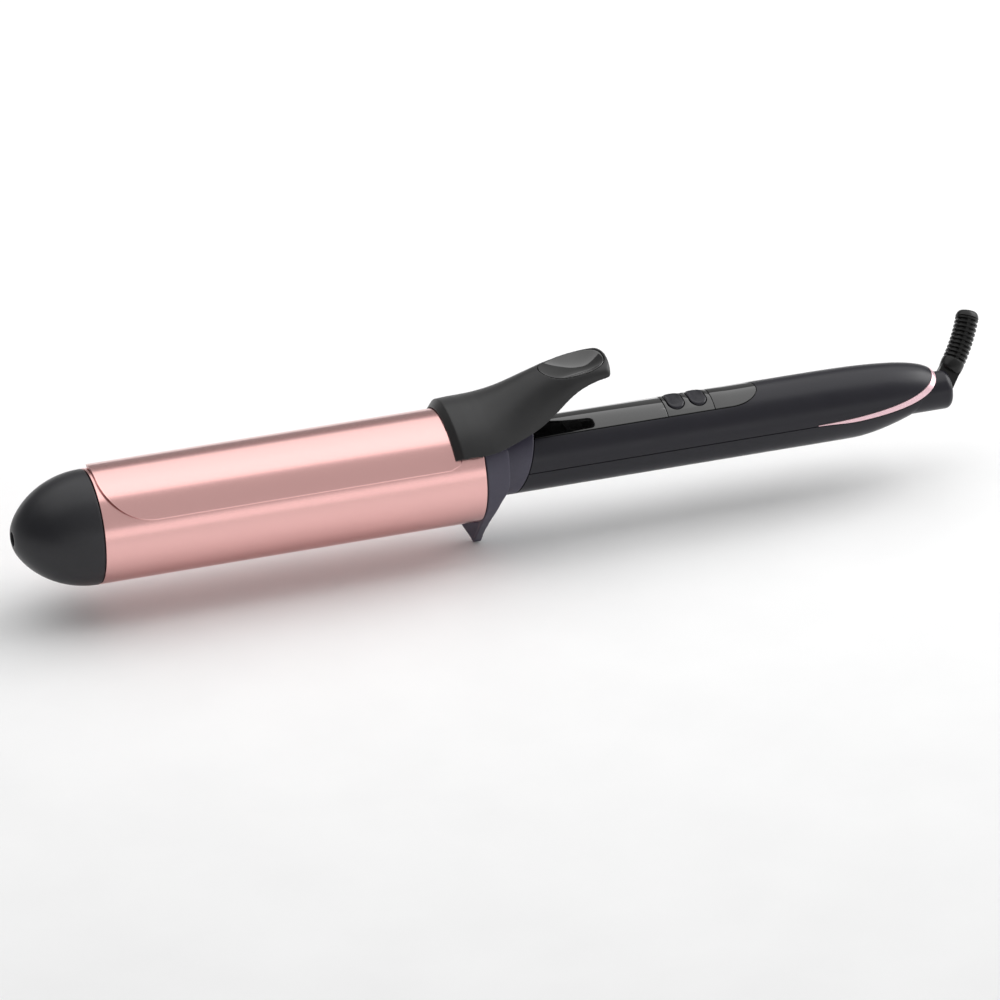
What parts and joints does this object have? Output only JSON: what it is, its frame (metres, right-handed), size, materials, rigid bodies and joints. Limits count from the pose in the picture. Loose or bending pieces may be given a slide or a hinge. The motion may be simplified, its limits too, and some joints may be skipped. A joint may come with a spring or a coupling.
{
  "type": "hair curling iron",
  "caption": "Curling iron with a heated round barrel, a sprung hair clamp with a thumb lever, push buttons in a gloss strip on the handle, a stand foot and a swivelling cord outlet.",
  "frame": {"origin": "the flat tip of the stand foot under the collar, straight below the barrel's axis", "axes": "+X along the barrel's axis from the tip cap towards the cord outlet, +Z from the foot up through the barrel to the thumb lever, +Y to the far side seen with the tip cap on the left"},
  "size_m": [0.3373, 0.0384, 0.0616],
  "materials": {
    "rose_gold": "satin metallic rose lacquer",
    "tip_plastic": "matte heat-resistant plastic",
    "collar_plastic": "satin purple-grey plastic",
    "soft_black": "soft-touch black",
    "satin_black": "satin black",
    "gloss_black": "polished black",
    "rubber": "moulded rubber",
    "accent_metal": "pale pink metallic",
    "steel": "plain steel",
    "brass": "bare brass",
    "aluminium": "extruded",
    "ceramic": "unglazed off-white",
    "board_green": "solder mask",
    "wire_red": "insulation",
    "wire_blue": "insulation",
    "led_lens": "translucent lens",
    "component_black": "moulded",
    "component_yellow": "dipped"
  },
  "bodies": {
    "handle": {"accent_trim": "accent_metal", "barrel_carrier": "ceramic", "barrel_tube": "rose_gold", "brush_contact_live": "brass", "brush_contact_neutral": "brass", "button_panel": "gloss_black", "circuit_board": "board_green", "clamp_pivot_pin": "steel", "clamp_spring": "steel", "collar": "collar_plastic", "dropper_resistor": "ceramic", "fascia_front": "gloss_black", "fascia_rear": "gloss_black", "filter_capacitor": "component_yellow", "handle_lower_shell": "satin_black", "handle_screw_front": "steel", "handle_screw_rear": "steel", "handle_upper_shell": "satin_black", "heat_spreader_lower": "aluminium", "heat_spreader_upper": "aluminium", "heat_switch": "component_black", "heater_lead_live": "wire_red", "heater_lead_neutral": "wire_blue", "heater_plate": "ceramic", "mains_lead_live": "wire_red", "mains_lead_neutral": "wire_blue", "power_switch": "component_black", "status_led": "led_lens", "swivel_retainer": "component_black", "temperature_sensor": "component_black", "thermal_fuse": "ceramic", "tip_bracket": "steel", "tip_cap": "tip_plastic", "tip_screw": "steel", "triac": "component_black"},
    "clamp": {"clamp_plate": "rose_gold", "clamp_lever": "soft_black", "thumb_inlay": "gloss_black", "clamp_rivet_left": "steel", "clamp_rivet_right": "steel"},
    "power_button": {"power_button": "satin_black"},
    "heat_button": {"heat_button": "satin_black"},
    "swivel": {"swivel_knuckle": "satin_black", "boot_pin": "steel", "slip_ring_live": "brass", "slip_ring_neutral": "brass"},
    "boot": {"strain_relief": "rubber"}
  },
  "joints": [
    {"name": "clamp_hinge", "type": "hinge", "parent": "handle", "child": "clamp", "pos_m": [0.0069, 0, 0.0418], "axis": [0, 1, 0], "range_deg": [0, 18], "stiffness_Nm_per_rad": 0.5, "springref_deg": -17.19, "deforming": ["clamp_spring"]},
    {"name": "power_button_slide", "type": "slide", "parent": "handle", "child": "power_button", "axis": [0, 0, -1], "range_m": [0, 0.0006], "stiffness_N_per_m": 600, "springref_m": -0.001},
    {"name": "heat_button_slide", "type": "slide", "parent": "handle", "child": "heat_button", "axis": [0, 0, -1], "range_m": [0, 0.0006], "stiffness_N_per_m": 600, "springref_m": -0.001},
    {"name": "cord_swivel", "type": "hinge", "parent": "handle", "child": "swivel", "pos_m": [0.1174, 0, 0.0278], "axis": [1, 0, 0], "continuous": true},
    {"name": "boot_tilt", "type": "hinge", "parent": "swivel", "child": "boot", "pos_m": [0.1621, 0, 0.0278], "axis": [0, -0.788, 0.6157], "range_deg": [-52, 24]}
  ]
}
